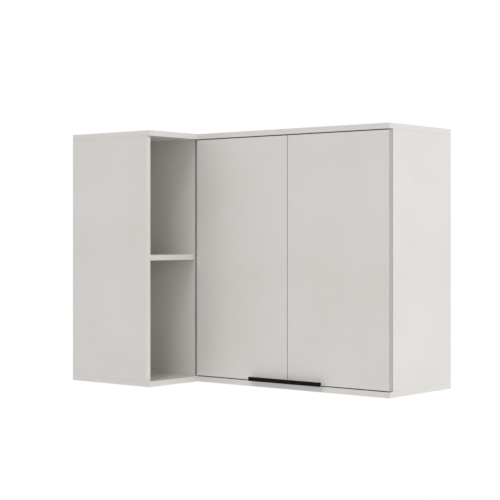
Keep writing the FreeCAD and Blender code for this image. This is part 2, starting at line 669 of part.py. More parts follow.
def door_band(side, edge, turn):
    """Edge band: a thin frame round the door's board, rounded at the front and back."""
    body = new_body(f"{side}_door_edge_band")
    sketch = moved_sketch(body, "XZ", "0", "0", f"-{DOOR_HEIGHT} / 2")
    width = DOOR_WIDTHS[side]
    draw_outline(sketch, rectangle("0", "0", width, DOOR_HEIGHT))
    draw_outline(sketch, rectangle("door_band", "door_band", f"{width} - door_band", f"{DOOR_HEIGHT} - door_band"))
    ring = pad(body, sketch, "door_thickness", True)
    box = ring.Shape.BoundBox

    def outer(edge_line):
        middle = edge_line.CenterOfMass
        on_side = min(abs(middle.x - box.XMin), abs(middle.x - box.XMax)) < 1e-3
        on_end = min(abs(middle.z - box.ZMin), abs(middle.z - box.ZMax)) < 1e-3
        return (on_side or on_end) and not along(edge_line, Y_AXIS)

    round_edges(body, ring, "door_band / 2", outer)
    put_on_door(body, edge, turn)
    return sub_part(body)


def door_handle(side, edge, turn, up):
    """Square bar on two round posts, drilled for the screws that come through the door."""
    body = new_body(f"{side}_handle")
    foot = f"(-{DOOR_HEIGHT} / 2 - handle_drop)"
    if up < 0:
        foot = f"({DOOR_HEIGHT} / 2 + handle_drop - handle_height)"
    start = f"{DOOR_WIDTHS[side]} - handle_length"
    bar = from_corner(body, "handle_reach - handle_depth", (start, foot),
                      ("handle_length", "handle_height"), "handle_depth", False)
    bar = round_edges(body, bar, "handle_round", lambda edge_line: True)
    posts = moved_sketch(body, "XZ", "0", start, foot)
    for sign in "-+":
        draw_circle(posts, f"(handle_length {sign} handle_spacing) / 2", "handle_height / 2", "post_radius")
    pad(body, posts, "handle_reach - handle_depth / 2")
    threads = moved_sketch(body, "XZ", "0", start, foot)
    for sign in "-+":
        draw_circle(threads, f"(handle_length {sign} handle_spacing) / 2", "handle_height / 2",
                    "handle_screw_radius + pivot_play")
    pocket(body, threads, "handle_reach - handle_depth / 2", True)
    put_on_door(body, edge, turn)
    return sub_part(body)


def on_door(side, x, y, z):
    """Place in the cabinet's frame of a point given in a door's own."""
    edge, sign = (LEFT_DOOR_EDGE, "") if side == "left" else (RIGHT_DOOR_EDGE, "-")
    return f"{edge} + {sign}({x})", f"{MAIN_FRONT} + {y}", f"overall_height / 2 + {z}"


def handle_screws(side):
    """Screws that come through the door into the handle's posts."""
    screws = []
    for number, sign in enumerate("-+"):
        x, y, z = on_door(side, handle_post_row(side, sign),
                          "(door_thickness + handle_screw_head)", f"({HANDLE_RISE} - {DOOR_HEIGHT} / 2)")
        screws.append(stepped_rod(f"{side}_handle_screw_{number}", "2 * handle_screw_radius",
                                  "handle_screw_head", "handle_screw_radius",
                                  "door_thickness + handle_reach - handle_depth", x, y, z, TURN_TO_ROOM))
    group(f"{side}_handle_screws", screws)


for side, edge, turn, up in SIDES:
    door_panel(side, edge, turn, up)
    door_band(side, edge, turn)
    door_handle(side, edge, turn, up)
    handle_screws(side)


# ---------------------------------------------------------------- concealed hinges
# Layers of the linkage, from the hinge's middle outwards: the lugs of the arm and the cup, the inner
# link's two cheeks, then the outer link's two cheeks.

INNER_CHEEK = "(lug_half_width + link_play)"
OUTER_CHEEK = f"({INNER_CHEEK} + link_thickness + 2 * link_play)"
ARM_HALF = f"({OUTER_CHEEK} - link_play)"
INNER_PIN_HALF = f"({INNER_CHEEK} + link_thickness)"
OUTER_PIN_HALF = f"({OUTER_CHEEK} + link_thickness)"


def slab(body, low, height, shapes, reverse=False):
    """Pad outlines and circles in the hinge's plan, from a level upwards."""
    sketch = new_sketch(body, "XY", f"{FIRST_HINGE} + {low}")
    for shape in shapes:
        if len(shape) == 3 and isinstance(shape[0], str):
            draw_circle(sketch, *shape)
        else:
            draw_outline(sketch, shape)
    return pad(body, sketch, height, reverse)


def drill(body, low, height, circles):
    sketch = new_sketch(body, "XY", f"{FIRST_HINGE} + {low}")
    for circle in circles:
        draw_circle(sketch, *circle)
    return pocket(body, sketch, height, True)


def bore_down(body, face, rows, radius, depth):
    """Bores from a face that looks away from the side panel, as (row, height over the hinge's middle)."""
    sketch = moved_sketch(body, "YZ", face, "0", f"{FIRST_HINGE} - plate_screw_spacing")
    for row, rise in rows:
        draw_circle(sketch, row, f"plate_screw_spacing + {rise}", radius)
    return pocket(body, sketch, depth)


A_PIN = ("outer_arm_pivot_inset", "outer_arm_pivot_depth")
B_PIN = ("inner_arm_pivot_inset", "inner_arm_pivot_depth")
C_PIN = ("outer_cup_pivot_inset", "outer_cup_pivot_depth")
D_PIN = ("inner_cup_pivot_inset", "inner_cup_pivot_depth")
PANEL_FACE = "(board - door_side_gap)"
FOOT_TOP = f"({PANEL_FACE} + plate_thickness)"
RAIL_TOP = f"({PANEL_FACE} + plate_rise)"
ARM_TOP = f"({RAIL_TOP} + arm_thickness)"
PLATE_ROW = "(door_thickness + door_back_gap + plate_setback)"
ARM_FRONT = f"({PLATE_ROW} + arm_setback)"
ARM_CHEEK = "(arm_half_width - rail_half_width - link_play)"


def at_corner(line, axis, spacing, margin):
    """True on edges along an axis at the ends of a foot or flange that reaches past a hinge's two screws."""
    rise = abs(abs(line.CenterOfMass.z) - number_of("hinge_spacing") / 2)
    return along(line, axis) and abs(rise - number_of(spacing) / 2 - number_of(margin)) < 1e-3


def strip_outline(points, width):
    """Outline of a bent flat strip: each point of its middle line is moved to both sides.
    A point is (x, y, (side x, side y)), where side is the way to the strip's left face."""
    left = [(f"{x} + {width} / 2 * ({sx})", f"{y} + {width} / 2 * ({sy})") for x, y, (sx, sy) in points]
    right = [(f"{x} - {width} / 2 * ({sx})", f"{y} - {width} / 2 * ({sy})") for x, y, (sx, sy) in points]
    return left + right[::-1]


def between(first, last, across, back):
    """Place given by its shares of the way from one pin to another."""
    return (f"({first[0]} + {across} * ({last[0]} - {first[0]}))",
            f"({first[1]} + {back} * ({last[1]} - {first[1]}))")


def mounting_plate(side, edge, turn):
    """Foot with two screw holes, across the rail that carries the arm."""
    body = new_body(f"{side}_hinge_plates")
    foot = slab(body, "(-plate_screw_spacing / 2 - plate_margin)", "plate_screw_spacing + 2 * plate_margin",
                [rectangle(PANEL_FACE, f"{PLATE_ROW} - plate_margin", FOOT_TOP, f"{PLATE_ROW} + plate_margin")])
    rail = slab(body, "(-rail_half_width)", "2 * rail_half_width",
                [rectangle(PANEL_FACE, f"{PLATE_ROW} - plate_margin", RAIL_TOP,
                           f"{PLATE_ROW} - plate_margin + rail_length")])
    holes = bore_down(body, FOOT_TOP, [(PLATE_ROW, "(-plate_screw_spacing / 2)"),
                                       (PLATE_ROW, "(plate_screw_spacing / 2)")],
                      "screw_hole_radius", "plate_thickness")
    clamp = bore_down(body, RAIL_TOP, [(f"{PLATE_ROW} + clamp_row", "0")],
                      "handle_screw_radius + handle_screw_play", "plate_rise - cup_floor")
    pair = pair_along_z(body, [foot, rail, holes, clamp], "hinge_spacing")
    round_edges(body, pair, "plate_round",
                lambda line: at_corner(line, X_AXIS, "plate_screw_spacing", "plate_margin"))
    put_on_door(body, edge, turn)
    return sub_part(body)


def hinge_arm(side, edge, turn):
    """Arm with cheeks beside the rail, a neck to the outer link's pin and a nose to the inner one's."""
    body = new_body(f"{side}_hinge_arms")
    a_x, a_y = A_PIN
    b_x, b_y = B_PIN
    back = f"{ARM_FRONT} + arm_length"
    features = [slab(body, "(-arm_half_width)", "2 * arm_half_width",
                     [rectangle(RAIL_TOP, ARM_FRONT, ARM_TOP, back)])]
    base = features[0].Shape.BoundBox
    for low in ("(-arm_half_width)", f"(arm_half_width - {ARM_CHEEK})"):
        features.append(slab(body, low, ARM_CHEEK,
                             [rectangle(f"{RAIL_TOP} - arm_cheek_reach", ARM_FRONT, RAIL_TOP, back)]))
    low_side, high_side = f"({a_x} - neck_margin)", f"({a_x} + neck_margin)"
    front, rear = f"({a_y} - neck_cover)", f"({a_y} + neck_margin)"
    features.append(slab(body, f"(-{ARM_HALF})", f"2 * {ARM_HALF}",
                         [((RAIL_TOP, rear), (low_side, front), (high_side, front), (high_side, rear),
                           (ARM_TOP, f"{ARM_FRONT} + neck_length"), (RAIL_TOP, f"{ARM_FRONT} + neck_length"))]))
    features.append(slab(body, "(-lug_half_width)", "2 * lug_half_width",
                         [((low_side, a_y), (f"{b_x} - eye_radius", b_y), (f"{b_x} + eye_radius", b_y),
                           (high_side, a_y))]))
    features.append(slab(body, "(-lug_half_width)", "2 * lug_half_width", [(b_x, b_y, "eye_radius")]))
    features.append(drill(body, f"(-{ARM_HALF})", f"2 * {ARM_HALF}", [(a_x, a_y, "pivot_radius")]))
    features.append(drill(body, "(-lug_half_width)", "2 * lug_half_width", [(b_x, b_y, "pivot_radius")]))
    screws = [(f"{PLATE_ROW} + clamp_row", "0"), (f"{PLATE_ROW} + adjuster_row", "0")]
    features.append(bore_down(body, ARM_TOP, screws, "screw_hole_radius", "arm_thickness"))
    features.append(bore_down(body, ARM_TOP, screws[:1], "clamp_seat_radius", "clamp_seat_depth"))
    pair = pair_along_z(body, features, "hinge_spacing")

    def upper(line):
        middle = line.CenterOfMass
        at_rear = along(line, Z_AXIS) and abs(middle.y - base.YMax) < 1e-3
        return (along(line, Y_AXIS) or at_rear) and abs(middle.x - base.XMax) < 1e-3

    round_edges(body, pair, "arm_round", upper)
    put_on_door(body, edge, turn)
    return sub_part(body)


def link(label, edge, turn, inner_face, eyes, strips, bores):
    """Two bent cheeks, mirrored about the hinge's middle, with round eyes."""
    body = new_body(label)
    features = []
    for low in (inner_face, f"(-{inner_face} - link_thickness)"):
        for eye in eyes:
            features.append(slab(body, low, "link_thickness", [eye]))
        features.append(slab(body, low, "link_thickness", [strips]))
        if bores:
            features.append(drill(body, low, "link_thickness", bores))
    pair_along_z(body, features, "hinge_spacing")
    put_on_door(body, edge, turn)
    return sub_part(body)


def links(side, edge, turn):
    eye = "pivot_radius + pivot_play"
    outer_line = (
        (*A_PIN, (1, 0.2)),
        (*between(A_PIN, C_PIN, 0.26, 0.8), (0.95, -0.3)),
        (*between(A_PIN, C_PIN, 0.52, 1.04), (0.5, -0.85)),
        (*between(A_PIN, C_PIN, 0.76, 1.085), (-0.1, -1)),
        (*C_PIN, (-0.4, -0.9)),
    )
    link(f"{side}_outer_links", edge, turn, OUTER_CHEEK,
         [(*A_PIN, "eye_radius"), (*C_PIN, "cup_eye_radius")],
         strip_outline(outer_line, "outer_strip_width"), [(*A_PIN, eye), (*C_PIN, eye)])
    inner_line = (
        (*B_PIN, (0.9, -0.4)),
        (*between(B_PIN, D_PIN, 0.193, 0.525), (1, -0.2)),
        (*between(B_PIN, D_PIN, 0.21, 0.74), (0.95, -0.3)),
        (*between(B_PIN, D_PIN, 0.395, 1.006), (0.5, -0.85)),
        (*between(B_PIN, D_PIN, 0.693, 1.062), (0, -1)),
        (*between(B_PIN, D_PIN, 0.825, 1.049), (0, -1)),
    )
    link(f"{side}_inner_links", edge, turn, INNER_CHEEK, [(*B_PIN, "eye_radius")],
         strip_outline(inner_line, "inner_strip_width"), [(*B_PIN, eye)])


def cup(side, edge, turn):
    """Cup with its flange on the door's back, and the lug in it that holds both links' pins."""
    body = new_body(f"{side}_hinge_cups")

    def plan(offset):
        return moved_sketch(body, "XZ", offset, "0", f"{FIRST_HINGE} - cup_radius * 2")

    shell_sketch = plan("-door_thickness")
    draw_circle(shell_sketch, "cup_inset", "cup_radius * 2", "cup_radius")
    shell = pad(body, shell_sketch, "cup_depth")
    flange_sketch = plan("-door_thickness")
    draw_outline(flange_sketch, rectangle(
        "cup_inset - flange_front", "cup_radius * 2 - cup_screw_spacing / 2 - flange_margin",
        "cup_inset + flange_rear", "cup_radius * 2 + cup_screw_spacing / 2 + flange_margin"))
    flange = pad(body, flange_sketch, "flange_height", True)
    bowl_sketch = plan("-door_thickness - flange_height")
    draw_circle(bowl_sketch, "cup_inset", "cup_radius * 2", "cup_radius - cup_wall")
    bowl = pocket(body, bowl_sketch, "cup_depth + flange_height - cup_floor", True)
    screw_sketch = plan("-door_thickness - flange_height")
    for sign in "-+":
        draw_circle(screw_sketch, "cup_screw_inset", f"cup_radius * 2 {sign} cup_screw_spacing / 2",
                    "handle_screw_radius")
    screw_holes = pocket(body, screw_sketch, "flange_height", True)
    c_x, c_y = C_PIN
    d_x, d_y = D_PIN
    foot = "door_thickness - cup_depth + cup_floor / 2"
    wall = "cup_inset - cup_radius + cup_wall / 2"
    lug = slab(body, "(-lug_half_width)", "2 * lug_half_width",
               [((wall, foot), (f"{d_x} + cup_lug_margin", foot),
                 (f"{d_x} + cup_lug_margin", f"{d_y} + cup_lug_margin"),
                 (f"{c_x} + cup_lug_margin", f"{c_y} + cup_lug_margin"), (wall, f"{c_y} + cup_lug_margin"))])
    bores = drill(body, "(-lug_half_width)", "2 * lug_half_width",
                  [(*C_PIN, "pivot_radius"), (*D_PIN, "pivot_radius")])
    pair = pair_along_z(body, [shell, flange, bowl, screw_holes, lug, bores], "hinge_spacing")
    rounded = round_edges(body, pair, "flange_round",
                          lambda line: at_corner(line, Y_AXIS, "cup_screw_spacing", "flange_margin"))
    floor_depth = pair.Shape.BoundBox.YMin
    round_edges(body, rounded, "cup_round",
                lambda line: isinstance(line.Curve, Part.Circle) and abs(line.CenterOfMass.y - floor_depth) < 1e-3)
    put_on_door(body, edge, turn)
    return sub_part(body)


def hinge_pins(side, label, inner_pin, outer_pin):
    """Short pin of the inner link and long pin of the outer link, in both hinges."""
    pieces = []
    for number, middle in enumerate((FIRST_HINGE, LAST_HINGE)):
        for name, (x, y), half in (("inner", inner_pin, INNER_PIN_HALF), ("outer", outer_pin, OUTER_PIN_HALF)):
            place_x, place_y, place_z = on_door(side, x, y, f"({middle} - {half})")
            pieces.append(rod(f"{label}_{name}_{number}", "pivot_radius", f"2 * {half}",
                              place_x, place_y, place_z))
    group(label, pieces)


def hinge_screws(side):
    """Wood screws of the cups (in the door) and of the mounting plates (in the side panel)."""
    cup_screws = []
    plate_screws = []
    across = TURN_LEFT if side == "left" else TURN_RIGHT
    for number, middle in enumerate((FIRST_HINGE, LAST_HINGE)):
        for sign_number, sign in enumerate("-+"):
            x, y, z = on_door(side, "cup_screw_inset", "(door_thickness + 2 * flange_height)",
                              f"({middle} {sign} cup_screw_spacing / 2)")
            cup_screws.append(stepped_rod(f"{side}_cup_screw_{number}{sign_number}", "2 * handle_screw_radius",
                                          "flange_height", "handle_screw_radius - pivot_play", "cup_depth",
                                          x, y, z, TURN_TO_ROOM))
            x, y, z = on_door(side, f"{PANEL_FACE} + plate_thickness + flange_height", PLATE_ROW,
                              f"({middle} {sign} plate_screw_spacing / 2)")
            plate_screws.append(stepped_rod(f"{side}_plate_screw_{number}{sign_number}", "2 * handle_screw_radius",
                                            "flange_height", "screw_shank_radius",
                                            "pin_hole_depth + plate_thickness - tip_play", x, y, z, across))
    group(f"{side}_cup_screws", cup_screws)
    group(f"{side}_plate_screws", plate_screws)


for side, edge, turn, up in SIDES:
    mounting_plate(side, edge, turn)
    hinge_arm(side, edge, turn)
    links(side, edge, turn)
    cup(side, edge, turn)
    hinge_pins(side, f"{side}_arm_pins", B_PIN, A_PIN)
    hinge_pins(side, f"{side}_cup_pins", D_PIN, C_PIN)
    hinge_screws(side)


# ---------------------------------------------------------------- check and write

doc.recompute()
for thing in doc.Objects:
    if "Invalid" in thing.State or "Error" in thing.State:
        raise RuntimeError(f"{thing.Label} is not built: {thing.State}")
for thing in SUB_PARTS:
    if thing.Shape.isNull() or not thing.Shape.isValid():
        raise RuntimeError(f"{thing.Label} has no valid shape")
for thing in SUB_PARTS:
    thing.Shape.exportStep(f"parts/{thing.Label}.step")
    print(thing.Label, len(thing.Shape.Solids), round(thing.Shape.Volume))
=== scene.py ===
import json
import math

import bmesh
import bpy
from mathutils import Matrix, Vector


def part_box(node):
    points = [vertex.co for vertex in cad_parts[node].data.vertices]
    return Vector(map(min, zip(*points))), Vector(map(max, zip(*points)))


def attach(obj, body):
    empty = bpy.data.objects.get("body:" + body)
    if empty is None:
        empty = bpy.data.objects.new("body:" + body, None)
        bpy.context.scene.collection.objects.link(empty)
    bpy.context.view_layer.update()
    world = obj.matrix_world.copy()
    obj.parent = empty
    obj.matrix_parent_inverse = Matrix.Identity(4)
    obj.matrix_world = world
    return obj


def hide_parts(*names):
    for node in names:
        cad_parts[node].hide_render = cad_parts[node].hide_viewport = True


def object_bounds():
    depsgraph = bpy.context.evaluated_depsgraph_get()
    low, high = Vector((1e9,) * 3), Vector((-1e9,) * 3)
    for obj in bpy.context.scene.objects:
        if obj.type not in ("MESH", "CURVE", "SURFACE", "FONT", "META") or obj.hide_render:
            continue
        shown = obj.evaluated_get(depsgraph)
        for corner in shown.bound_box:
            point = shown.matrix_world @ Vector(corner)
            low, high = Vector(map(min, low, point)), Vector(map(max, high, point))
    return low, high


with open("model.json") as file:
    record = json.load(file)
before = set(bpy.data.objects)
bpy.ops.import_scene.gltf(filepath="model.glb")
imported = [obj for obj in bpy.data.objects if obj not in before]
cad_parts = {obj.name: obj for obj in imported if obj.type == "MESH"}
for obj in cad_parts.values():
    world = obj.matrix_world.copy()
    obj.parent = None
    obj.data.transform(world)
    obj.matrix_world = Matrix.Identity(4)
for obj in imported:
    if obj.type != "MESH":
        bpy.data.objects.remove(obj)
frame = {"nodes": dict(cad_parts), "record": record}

# A white corner wall cabinet: two doors on a box along the wall, and an open wing with two niches
# that comes forward at the left end. Lengths are metres in the cabinet's own frame, and
# millimetres where they are multiplied by MM.

cad_box = [list(corner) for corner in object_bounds()]
MM = 0.001
NODE_SLOTS = {part["node"]: part["material_slot"] for part in frame["record"]["subparts"]}
BODY_OF = {node: body for body, nodes in frame["record"]["behaviour"]["bodies"].items()
           for node in nodes}

X_AXIS, Y_AXIS = 0, 1


def srgb(red, green, blue):
    """Scene colour of a colour given as it looks on a screen, 0 to 255."""
    def linear(level):
        share = level / 255
        return share / 12.92 if share <= 0.04045 else ((share + 0.055) / 1.055) ** 2.4
    return (linear(red), linear(green), linear(blue), 1.0)


# ---------------------------------------------------------------- finishes

NOISE_LOW, NOISE_HIGH = 0.3, 0.7    # most values of a noise texture lie between these
GRAIN_DEPTH = 0.05 * MM


class Finish:
    """A material with its principled shader, and short ways to hang texture nodes on it."""

    def __init__(self, name, colour, roughness, metallic=0.0):
        self.material = bpy.data.materials.new(name)
        self.material.use_nodes = True
        self.nodes = self.material.node_tree.nodes
        self.links = self.material.node_tree.links
        self.shader = self.nodes["Principled BSDF"]
        self.shader.inputs["Base Color"].default_value = colour
        self.shader.inputs["Roughness"].default_value = roughness
        self.shader.inputs["Metallic"].default_value = metallic
        self.material.diffuse_color = colour
        self.place = self.nodes.new("ShaderNodeTexCoord").outputs["Object"]
        self.normal = self.nodes.new("ShaderNodeNewGeometry").outputs["Normal"]

    def join(self, output, target):
        self.links.new(output, target)

    def stretched(self, x, y, z):
        """Object coordinates scaled along each axis."""
        mapping = self.nodes.new("ShaderNodeMapping")
        mapping.inputs["Scale"].default_value = (x, y, z)
        self.join(self.place, mapping.inputs["Vector"])
        return mapping.outputs["Vector"]

    def noise(self, scale, detail=3.0, roughness=0.5, vector=None):
        texture = self.nodes.new("ShaderNodeTexNoise")
        texture.inputs["Scale"].default_value = scale
        texture.inputs["Detail"].default_value = detail
        texture.inputs["Roughness"].default_value = roughness
        self.join(vector or self.place, texture.inputs["Vector"])
        return texture.outputs["Fac"]

    def chips(self, scale):
        """Cells with a random shade each."""
        texture = self.nodes.new("ShaderNodeTexVoronoi")
        texture.inputs["Scale"].default_value = scale
        self.join(self.place, texture.inputs["Vector"])
        return texture.outputs["Color"]

    def span(self, value, new_low, new_high, low=NOISE_LOW, high=NOISE_HIGH):
        """A value between low and high, spread to the new range."""
        node = self.nodes.new("ShaderNodeMapRange")
        ends = {"From Min": low, "From Max": high, "To Min": new_low, "To Max": new_high}
        for name, number in ends.items():
            node.inputs[name].default_value = number
        self.join(value, node.inputs["Value"])
        return node.outputs["Result"]

    def ramp(self, value, *stops):
        """Colour ramp through (position, colour) stops."""
        node = self.nodes.new("ShaderNodeValToRGB")
        elements = node.color_ramp.elements
        while len(elements) < len(stops):
            elements.new(0.5)
        for element, (position, colour) in zip(elements, stops):
            element.position = position
            element.color = colour
        self.join(value, node.inputs["Fac"])
        return node.outputs["Color"]

    def blend(self, noise, first, second):
        """Colour that a noise texture moves between two shades."""
        return self.ramp(noise, (NOISE_LOW, first), (NOISE_HIGH, second))

    def mix(self, share, first, second):
        node = self.nodes.new("ShaderNodeMix")
        node.data_type = "RGBA"
        self.join(share, node.inputs["Factor"])
        colours = [socket for socket in node.inputs if socket.type == "RGBA"]
        for socket, colour in zip(colours, (first, second)):
            if isinstance(colour, tuple):
                socket.default_value = colour
            else:
                self.join(colour, socket)
        return [socket for socket in node.outputs if socket.type == "RGBA"][0]

    def math(self, operation, first, second):
        node = self.nodes.new("ShaderNodeMath")
        node.operation = operation
        for socket, value in zip(node.inputs, (first, second)):
            if isinstance(value, (int, float)):
                socket.default_value = value
            else:
                self.join(value, socket)
        return node.outputs["Value"]

    def part(self, vector, axis):
        """One number of a vector or colour."""
        node = self.nodes.new("ShaderNodeSeparateXYZ")
        self.join(vector, node.inputs["Vector"])
        return node.outputs[axis]

    def colour(self, output):
        self.join(output, self.shader.inputs["Base Color"])

    def rough(self, output):
        self.join(output, self.shader.inputs["Roughness"])

    def bump(self, height, strength, depth=GRAIN_DEPTH):
        node = self.nodes.new("ShaderNodeBump")
        node.inputs["Strength"].default_value = strength
        node.inputs["Distance"].default_value = depth
        self.join(height, node.inputs["Height"])
        self.join(node.outputs["Normal"], self.shader.inputs["Normal"])


MELAMINE = srgb(214, 211, 206)
MELAMINE_SHADE = srgb(211, 208, 202)
MELAMINE_ROUGHNESS = 0.48


def melamine_surface(finish):
    """White decor paper under matt resin: faint clouding, and a fine pearl in the gloss."""
    cloud = finish.noise(5.0, detail=4.0)
    pearl = finish.noise(1500.0, detail=2.0)
    finish.rough(finish.span(pearl, 0.42, 0.54))
    finish.bump(pearl, 0.05)
    return finish.ramp(cloud, (0.35, MELAMINE_SHADE), (0.65, MELAMINE))


def raw_chipboard(finish):
    """Sawn edge of chipboard: pale and dark flakes, and dust between them."""
    shade = finish.part(finish.chips(420.0), X_AXIS)
    flakes = finish.ramp(shade, (0.0, srgb(150, 118, 80)), (0.45, srgb(192, 160, 116)),
                         (0.8, srgb(214, 186, 144)), (1.0, srgb(120, 90, 60)))
    dust = finish.span(finish.noise(900.0, detail=3.0), 0.0, 0.6, low=0.35, high=0.65)
    return finish.mix(dust, flakes, srgb(168, 136, 96))


def melamine_board():
    """Board with banded front edges and a raw edge at the wall."""
    wall_play = 0.2 * MM
    finish = Finish("white_melamine_board", MELAMINE, MELAMINE_ROUGHNESS)
    white = melamine_surface(finish)
    to_wall = finish.math("GREATER_THAN", finish.part(finish.normal, Y_AXIS), 0.9)
    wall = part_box("top_panel")[1].y - wall_play
    at_wall = finish.math("GREATER_THAN", finish.part(finish.place, Y_AXIS), wall)
    raw = finish.math("MULTIPLY", to_wall, at_wall)
    finish.colour(finish.mix(raw, white, raw_chipboard(finish)))
    return finish.material


def melamine_plain(name):
    """Board or door with no raw edge in sight."""
    finish = Finish(name, MELAMINE, MELAMINE_ROUGHNESS)
    finish.colour(melamine_surface(finish))
    return finish.material


def edge_band():
    """Light grey strip on a door's edges, with streaks from its rolling."""
    finish = Finish("grey_edge_band", srgb(165, 164, 161), 0.4)
    streak = finish.noise(60.0, detail=2.0, vector=finish.stretched(1, 20, 1))
    finish.colour(finish.blend(streak, srgb(161, 160, 157), srgb(169, 168, 165)))
    finish.bump(finish.noise(900.0, detail=2.0), 0.08)
    return finish.material


def hardboard():
    """Back panel: white lacquer towards the cabinet, brown pressed fibre towards the wall."""
    finish = Finish("white_faced_hardboard", MELAMINE, 0.6)
    fibres = finish.noise(260.0, detail=6.0, roughness=0.7)
    brown = finish.ramp(fibres, (0.3, srgb(120, 88, 60)), (0.55, srgb(146, 112, 80)),
                        (0.75, srgb(166, 132, 98)))
    to_wall = finish.math("GREATER_THAN", finish.part(finish.normal, Y_AXIS), 0.5)
    finish.colour(finish.mix(to_wall, melamine_surface(finish), brown))
    return finish.material


def black_handle():
    """Matt black powder coat."""
    finish = Finish("black_powder_coat", srgb(10, 8, 7), 0.5)
    finish.shader.inputs["Specular IOR Level"].default_value = 0.08
    grain = finish.noise(2200.0, detail=2.0)
    finish.colour(finish.blend(grain, srgb(8, 6, 5), srgb(12, 10, 9)))
    finish.rough(finish.span(grain, 0.42, 0.6))
    finish.bump(grain, 0.15)
    return finish.material


def zinc():
    """Zinc plated screws, slightly spangled."""
    finish = Finish("zinc_plate", srgb(196, 197, 200), 0.32, metallic=1.0)
    spangle = finish.noise(700.0, detail=3.0)
    finish.colour(finish.blend(spangle, srgb(176, 178, 184), srgb(208, 208, 206)))
    finish.rough(finish.span(spangle, 0.26, 0.42))
    return finish.material


def nickel():
    """Pressed sheet with a soft satin plating."""
    finish = Finish("nickel_plate", srgb(206, 201, 192), 0.27, metallic=1.0)
    satin = finish.noise(160.0, detail=2.0)
    finish.colour(finish.blend(satin, srgb(204, 199, 190), srgb(208, 203, 194)))
    finish.rough(finish.span(satin, 0.25, 0.29))
    return finish.material


def cap_plastic():
    """White plastic of the cover caps, close to the melamine."""
    finish = Finish("white_cap_plastic", srgb(213, 210, 205), 0.45)
    grain = finish.noise(1300.0, detail=2.0)
    finish.colour(finish.blend(grain, srgb(211, 208, 203), srgb(215, 212, 207)))
    finish.bump(grain, 0.08)
    return finish.material


FINISHES = {
    "board_white": melamine_board(),
    "door_white": melamine_plain("white_melamine_door"),
    "edge_band_grey": edge_band(),
    "hardboard_white": hardboard(),
    "handle_black": black_handle(),
    "screw_zinc": zinc(),
    "hinge_nickel": nickel(),
}
RAIL_FINISH = melamine_plain("white_melamine_rail")
CAP_FINISH = cap_plastic()
ZINC = FINISHES["screw_zinc"]

for name, node in frame["nodes"].items():
    finish_here = RAIL_FINISH if name.endswith("hanging_rail") else FINISHES[NODE_SLOTS[name]]
    node.data.materials.clear()
    node.data.materials.append(finish_here)


# ---------------------------------------------------------------- screws and cover caps

TURNED_SIDES = 28
SMOOTH_ANGLE = math.radians(32)
RECESS_TAPER = 0.55                         # of a cross recess, bottom to top
THREAD_ROOT_END, THREAD_CREST = 0.45, 0.7   # shares of one turn's pitch
SAME_POINT = 1e-6
SAME_LEVEL = 0.01 * MM


def only(piece):
    """Select one piece alone, ready to work on."""
    bpy.ops.object.select_all(action="DESELECT")
    piece.select_set(True)
    bpy.context.view_layer.objects.active = piece


def turned(name, profile):
    """Turned piece round the Z axis: (radius, height) steps in mm, from its face inwards."""
    bpy.ops.object.select_all(action="DESELECT")
    radius, height = profile[0]
    bpy.ops.mesh.primitive_circle_add(vertices=TURNED_SIDES, radius=radius * MM, fill_type="NGON",
                                      location=(0, 0, height * MM))
    piece = bpy.context.object
    piece.name = name
    bpy.ops.object.transform_apply(location=True, rotation=True, scale=True)
    bpy.ops.object.mode_set(mode="EDIT")
    bpy.ops.mesh.select_all(action="SELECT")
    for next_radius, next_height in profile[1:]:
        bpy.ops.mesh.extrude_region_move(
            TRANSFORM_OT_translate={"value": (0, 0, (next_height - height) * MM)})
        bpy.ops.transform.resize(value=(next_radius / radius, next_radius / radius, 1))
        radius, height = next_radius, next_height
    bpy.ops.mesh.select_all(action="SELECT")
    bpy.ops.mesh.normals_make_consistent(inside=False)
    bpy.ops.object.mode_set(mode="OBJECT")
    return piece


def cut(piece, cutter):
    """Take the cutter's shape out of a piece."""
    only(piece)
    boolean = piece.modifiers.new("recess", "BOOLEAN")
    boolean.operation = "DIFFERENCE"
    boolean.object = cutter
    bpy.ops.object.modifier_apply(modifier=boolean.name)
    bpy.data.objects.remove(cutter)


def hex_recess(piece, width, depth):
    """Six-sided socket in the screw's face, its width taken across the flats."""
    bpy.ops.object.select_all(action="DESELECT")
    bpy.ops.mesh.primitive_cylinder_add(vertices=6, radius=width / math.sqrt(3) * MM,
                                        depth=2 * depth * MM)
    cut(piece, bpy.context.object)


def cross_recess(piece, reach, width, depth):
    """Cross for a screwdriver, narrower at the bottom; its second bar is shorter and wider."""
    for bar_x, bar_y in ((2 * reach, width), (2 * width, reach)):
        bpy.ops.object.select_all(action="DESELECT")
        bpy.ops.mesh.primitive_cube_add(size=1, scale=(bar_x * MM, bar_y * MM, 2 * depth * MM))
        blade = bpy.context.object
        bpy.ops.object.transform_apply(location=True, rotation=True, scale=True)
        bpy.ops.object.mode_set(mode="EDIT")
        bpy.ops.mesh.select_mode(type="FACE")
        bpy.ops.mesh.select_all(action="DESELECT")
        shape = bmesh.from_edit_mesh(blade.data)
        for face in shape.faces:
            face.select_set(face.normal.z > 0.5)
        bmesh.update_edit_mesh(blade.data)
        bpy.ops.transform.resize(value=(RECESS_TAPER, RECESS_TAPER, 1))
        bpy.ops.object.mode_set(mode="OBJECT")
        cut(piece, blade)


def smooth(piece):
    only(piece)
    bpy.ops.object.shade_smooth_by_angle(angle=SMOOTH_ANGLE)
    return piece


def threaded(core, crest, start, end, pitch):
    """Thread as turned steps, from a core radius to its crest."""
    steps = []
    height = start
    while height + pitch <= end:
        steps += [(core, height), (core, height + THREAD_ROOT_END * pitch),
                  (crest, height + THREAD_CREST * pitch)]
        height += pitch
    return steps


